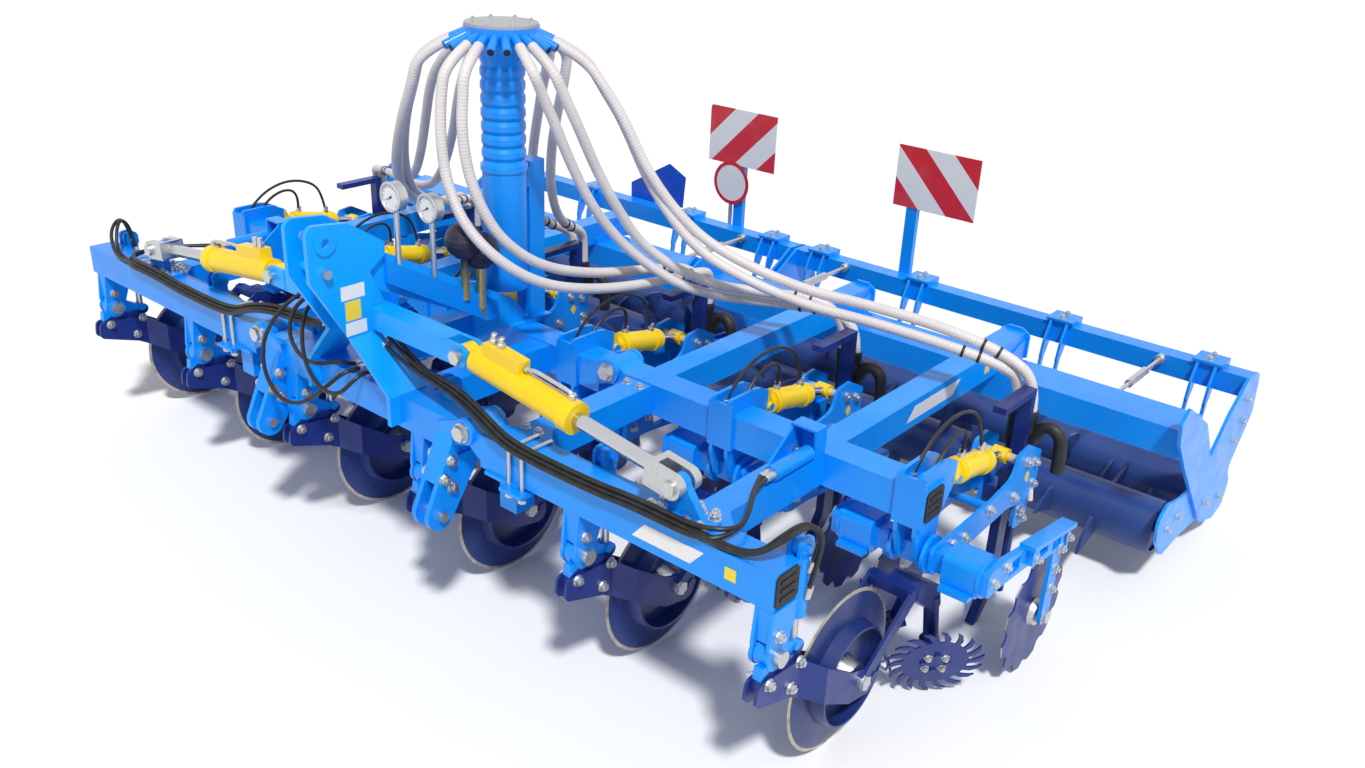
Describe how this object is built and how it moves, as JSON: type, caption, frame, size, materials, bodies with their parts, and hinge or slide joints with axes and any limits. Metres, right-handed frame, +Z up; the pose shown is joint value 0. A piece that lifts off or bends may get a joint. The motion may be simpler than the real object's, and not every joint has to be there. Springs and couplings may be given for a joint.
{
  "type": "folding strip-till cultivator",
  "caption": "Mounted strip-till cultivator with folding wings: cutting discs, star row cleaners, tines with side discs, bladed tandem rollers and a seed distributor tower",
  "frame": {"origin": "on the ground under the middle of the bounding box, wings unfolded", "axes": "+X to the machine's left across its full width, +Y rearwards from the hitch to the rollers, +Z up"},
  "size_m": [4.636, 3.1349, 2.02],
  "materials": {
    "frame_blue": "satin",
    "tool_blue": "satin",
    "cylinder_yellow": "gloss",
    "chrome": "polished"
  },
  "bodies": {
    "centre_frame": {"centre_front_beam": "frame_blue", "centre_mid_beam": "frame_blue", "centre_rails": "frame_blue", "headstock": "frame_blue", "distributor": "frame_blue", "gauge_block": "frame_blue", "disc_arms_centre": "frame_blue", "row_units_centre": "frame_blue"},
    "wing_left": {"front_beam_left": "frame_blue", "mid_beam_left": "frame_blue", "arms_left": "frame_blue", "roller_frame_left": "frame_blue", "rear_bar_left": "frame_blue", "disc_arms_left": "frame_blue", "row_units_left": "frame_blue"},
    "fold_barrel_left": {"fold_barrel_left": "cylinder_yellow"},
    "fold_rod_left": {"fold_rod_left": "chrome"},
    "roller_front_left": {"roller_front_left": "tool_blue"},
    "roller_rear_left": {"roller_rear_left": "tool_blue"},
    "wing_right": {"front_beam_right": "frame_blue", "mid_beam_right": "frame_blue", "arms_right": "frame_blue", "roller_frame_right": "frame_blue", "rear_bar_right": "frame_blue", "disc_arms_right": "frame_blue", "row_units_right": "frame_blue"},
    "fold_barrel_right": {"fold_barrel_right": "cylinder_yellow"},
    "fold_rod_right": {"fold_rod_right": "chrome"},
    "roller_front_right": {"roller_front_right": "tool_blue"},
    "roller_rear_right": {"roller_rear_right": "tool_blue"},
    "cutting_disc_1": {"cutting_disc_1": "tool_blue"},
    "star_1r": {"star_1r": "tool_blue"},
    "side_disc_1r": {"side_disc_1r": "tool_blue"},
    "star_1l": {"star_1l": "tool_blue"},
    "side_disc_1l": {"side_disc_1l": "tool_blue"},
    "cutting_disc_2": {"cutting_disc_2": "tool_blue"},
    "star_2r": {"star_2r": "tool_blue"},
    "side_disc_2r": {"side_disc_2r": "tool_blue"},
    "star_2l": {"star_2l": "tool_blue"},
    "side_disc_2l": {"side_disc_2l": "tool_blue"},
    "cutting_disc_3": {"cutting_disc_3": "tool_blue"},
    "star_3r": {"star_3r": "tool_blue"},
    "side_disc_3r": {"side_disc_3r": "tool_blue"},
    "star_3l": {"star_3l": "tool_blue"},
    "side_disc_3l": {"side_disc_3l": "tool_blue"},
    "cutting_disc_4": {"cutting_disc_4": "tool_blue"},
    "star_4r": {"star_4r": "tool_blue"},
    "side_disc_4r": {"side_disc_4r": "tool_blue"},
    "star_4l": {"star_4l": "tool_blue"},
    "side_disc_4l": {"side_disc_4l": "tool_blue"},
    "cutting_disc_5": {"cutting_disc_5": "tool_blue"},
    "star_5r": {"star_5r": "tool_blue"},
    "side_disc_5r": {"side_disc_5r": "tool_blue"},
    "star_5l": {"star_5l": "tool_blue"},
    "side_disc_5l": {"side_disc_5l": "tool_blue"},
    "cutting_disc_6": {"cutting_disc_6": "tool_blue"},
    "star_6r": {"star_6r": "tool_blue"},
    "side_disc_6r": {"side_disc_6r": "tool_blue"},
    "star_6l": {"star_6l": "tool_blue"},
    "side_disc_6l": {"side_disc_6l": "tool_blue"}
  },
  "joints": [
    {"name": "fold_left", "type": "hinge", "parent": "centre_frame", "child": "wing_left", "pos_m": [0.595, -0.9595, 0.84], "axis": [0, -1, 0], "range_deg": [0, 90]},
    {"name": "fold_cylinder_left", "type": "hinge", "parent": "centre_frame", "child": "fold_barrel_left", "pos_m": [0.535, -1.2975, 1.081], "axis": [0, -1, 0], "range_deg": [0, 103.45]},
    {"name": "fold_stroke_left", "type": "slide", "parent": "fold_barrel_left", "child": "fold_rod_left", "axis": [0.9912, 0, -0.1324], "range_m": [-0.3085, 0]},
    {"name": "spin_roller_front_left", "type": "hinge", "parent": "wing_left", "child": "roller_front_left", "pos_m": [1.156, 0.7325, 0.25], "axis": [1, 0, 0], "continuous": true},
    {"name": "spin_roller_rear_left", "type": "hinge", "parent": "wing_left", "child": "roller_rear_left", "pos_m": [1.156, 1.1425, 0.25], "axis": [1, 0, 0], "continuous": true},
    {"name": "fold_right", "type": "hinge", "parent": "centre_frame", "child": "wing_right", "pos_m": [-0.595, -0.9595, 0.84], "axis": [0, 1, 0], "range_deg": [0, 90]},
    {"name": "fold_cylinder_right", "type": "hinge", "parent": "centre_frame", "child": "fold_barrel_right", "pos_m": [-0.535, -1.2975, 1.081], "axis": [0, 1, 0], "range_deg": [0, 103.45]},
    {"name": "fold_stroke_right", "type": "slide", "parent": "fold_barrel_right", "child": "fold_rod_right", "axis": [-0.9912, 0, -0.1324], "range_m": [-0.3085, 0]},
    {"name": "spin_roller_front_right", "type": "hinge", "parent": "wing_right", "child": "roller_front_right", "pos_m": [-1.156, 0.7325, 0.25], "axis": [1, 0, 0], "continuous": true},
    {"name": "spin_roller_rear_right", "type": "hinge", "parent": "wing_right", "child": "roller_rear_right", "pos_m": [-1.156, 1.1425, 0.25], "axis": [1, 0, 0], "continuous": true},
    {"name": "spin_cutting_disc_1", "type": "hinge", "parent": "wing_right", "child": "cutting_disc_1", "pos_m": [-1.905, -0.9275, 0.28], "axis": [1, 0, 0], "continuous": true},
    {"name": "spin_star_1r", "type": "hinge", "parent": "wing_right", "child": "star_1r", "pos_m": [-2.025, -0.4975, 0.16717], "axis": [-0.6599, -0.6799, -0.3199], "continuous": true},
    {"name": "spin_side_disc_1r", "type": "hinge", "parent": "wing_right", "child": "side_disc_1r", "pos_m": [-2.127, -0.1275, 0.234], "axis": [1, 0, 0], "continuous": true},
    {"name": "spin_star_1l", "type": "hinge", "parent": "wing_right", "child": "star_1l", "pos_m": [-1.77, -0.5375, 0.16717], "axis": [0.6599, -0.6799, -0.3199], "continuous": true},
    {"name": "spin_side_disc_1l", "type": "hinge", "parent": "wing_right", "child": "side_disc_1l", "pos_m": [-1.623, -0.1275, 0.234], "axis": [1, 0, 0], "continuous": true},
    {"name": "spin_cutting_disc_2", "type": "hinge", "parent": "wing_right", "child": "cutting_disc_2", "pos_m": [-1.155, -0.9275, 0.28], "axis": [1, 0, 0], "continuous": true},
    {"name": "spin_star_2r", "type": "hinge", "parent": "wing_right", "child": "star_2r", "pos_m": [-1.275, -0.4975, 0.16717], "axis": [-0.6599, -0.6799, -0.3199], "continuous": true},
    {"name": "spin_side_disc_2r", "type": "hinge", "parent": "wing_right", "child": "side_disc_2r", "pos_m": [-1.377, -0.1275, 0.234], "axis": [1, 0, 0], "continuous": true},
    {"name": "spin_star_2l", "type": "hinge", "parent": "wing_right", "child": "star_2l", "pos_m": [-1.02, -0.5375, 0.16717], "axis": [0.6599, -0.6799, -0.3199], "continuous": true},
    {"name": "spin_side_disc_2l", "type": "hinge", "parent": "wing_right", "child": "side_disc_2l", "pos_m": [-0.873, -0.1275, 0.234], "axis": [1, 0, 0], "continuous": true},
    {"name": "spin_cutting_disc_3", "type": "hinge", "parent": "centre_frame", "child": "cutting_disc_3", "pos_m": [-0.405, -0.9275, 0.28], "axis": [1, 0, 0], "continuous": true},
    {"name": "spin_star_3r", "type": "hinge", "parent": "centre_frame", "child": "star_3r", "pos_m": [-0.525, -0.4975, 0.16717], "axis": [-0.6599, -0.6799, -0.3199], "continuous": true},
    {"name": "spin_side_disc_3r", "type": "hinge", "parent": "centre_frame", "child": "side_disc_3r", "pos_m": [-0.627, -0.1275, 0.234], "axis": [1, 0, 0], "continuous": true},
    {"name": "spin_star_3l", "type": "hinge", "parent": "centre_frame", "child": "star_3l", "pos_m": [-0.27, -0.5375, 0.16717], "axis": [0.6599, -0.6799, -0.3199], "continuous": true},
    {"name": "spin_side_disc_3l", "type": "hinge", "parent": "centre_frame", "child": "side_disc_3l", "pos_m": [-0.123, -0.1275, 0.234], "axis": [1, 0, 0], "continuous": true},
    {"name": "spin_cutting_disc_4", "type": "hinge", "parent": "centre_frame", "child": "cutting_disc_4", "pos_m": [0.345, -0.9275, 0.28], "axis": [1, 0, 0], "continuous": true},
    {"name": "spin_star_4r", "type": "hinge", "parent": "centre_frame", "child": "star_4r", "pos_m": [0.225, -0.4975, 0.16717], "axis": [-0.6599, -0.6799, -0.3199], "continuous": true},
    {"name": "spin_side_disc_4r", "type": "hinge", "parent": "centre_frame", "child": "side_disc_4r", "pos_m": [0.123, -0.1275, 0.234], "axis": [1, 0, 0], "continuous": true},
    {"name": "spin_star_4l", "type": "hinge", "parent": "centre_frame", "child": "star_4l", "pos_m": [0.48, -0.5375, 0.16717], "axis": [0.6599, -0.6799, -0.3199], "continuous": true},
    {"name": "spin_side_disc_4l", "type": "hinge", "parent": "centre_frame", "child": "side_disc_4l", "pos_m": [0.627, -0.1275, 0.234], "axis": [1, 0, 0], "continuous": true},
    {"name": "spin_cutting_disc_5", "type": "hinge", "parent": "wing_left", "child": "cutting_disc_5", "pos_m": [1.095, -0.9275, 0.28], "axis": [1, 0, 0], "continuous": true},
    {"name": "spin_star_5r", "type": "hinge", "parent": "wing_left", "child": "star_5r", "pos_m": [0.975, -0.4975, 0.16717], "axis": [-0.6599, -0.6799, -0.3199], "continuous": true},
    {"name": "spin_side_disc_5r", "type": "hinge", "parent": "wing_left", "child": "side_disc_5r", "pos_m": [0.873, -0.1275, 0.234], "axis": [1, 0, 0], "continuous": true},
    {"name": "spin_star_5l", "type": "hinge", "parent": "wing_left", "child": "star_5l", "pos_m": [1.23, -0.5375, 0.16717], "axis": [0.6599, -0.6799, -0.3199], "continuous": true},
    {"name": "spin_side_disc_5l", "type": "hinge", "parent": "wing_left", "child": "side_disc_5l", "pos_m": [1.377, -0.1275, 0.234], "axis": [1, 0, 0], "continuous": true},
    {"name": "spin_cutting_disc_6", "type": "hinge", "parent": "wing_left", "child": "cutting_disc_6", "pos_m": [1.845, -0.9275, 0.28], "axis": [1, 0, 0], "continuous": true},
    {"name": "spin_star_6r", "type": "hinge", "parent": "wing_left", "child": "star_6r", "pos_m": [1.725, -0.4975, 0.16717], "axis": [-0.6599, -0.6799, -0.3199], "continuous": true},
    {"name": "spin_side_disc_6r", "type": "hinge", "parent": "wing_left", "child": "side_disc_6r", "pos_m": [1.623, -0.1275, 0.234], "axis": [1, 0, 0], "continuous": true},
    {"name": "spin_star_6l", "type": "hinge", "parent": "wing_left", "child": "star_6l", "pos_m": [1.98, -0.5375, 0.16717], "axis": [0.6599, -0.6799, -0.3199], "continuous": true},
    {"name": "spin_side_disc_6l", "type": "hinge", "parent": "wing_left", "child": "side_disc_6l", "pos_m": [2.127, -0.1275, 0.234], "axis": [1, 0, 0], "continuous": true}
  ],
  "couplings": [
    {"joint": "fold_cylinder_left", "follows": "fold_left", "ratio": 1.1439},
    {"joint": "fold_stroke_left", "follows": "fold_left", "m_per_rad": -0.1951},
    {"joint": "fold_right", "follows": "fold_left", "ratio": 1},
    {"joint": "fold_cylinder_right", "follows": "fold_left", "ratio": 1.1439},
    {"joint": "fold_stroke_right", "follows": "fold_left", "m_per_rad": -0.1951}
  ]
}
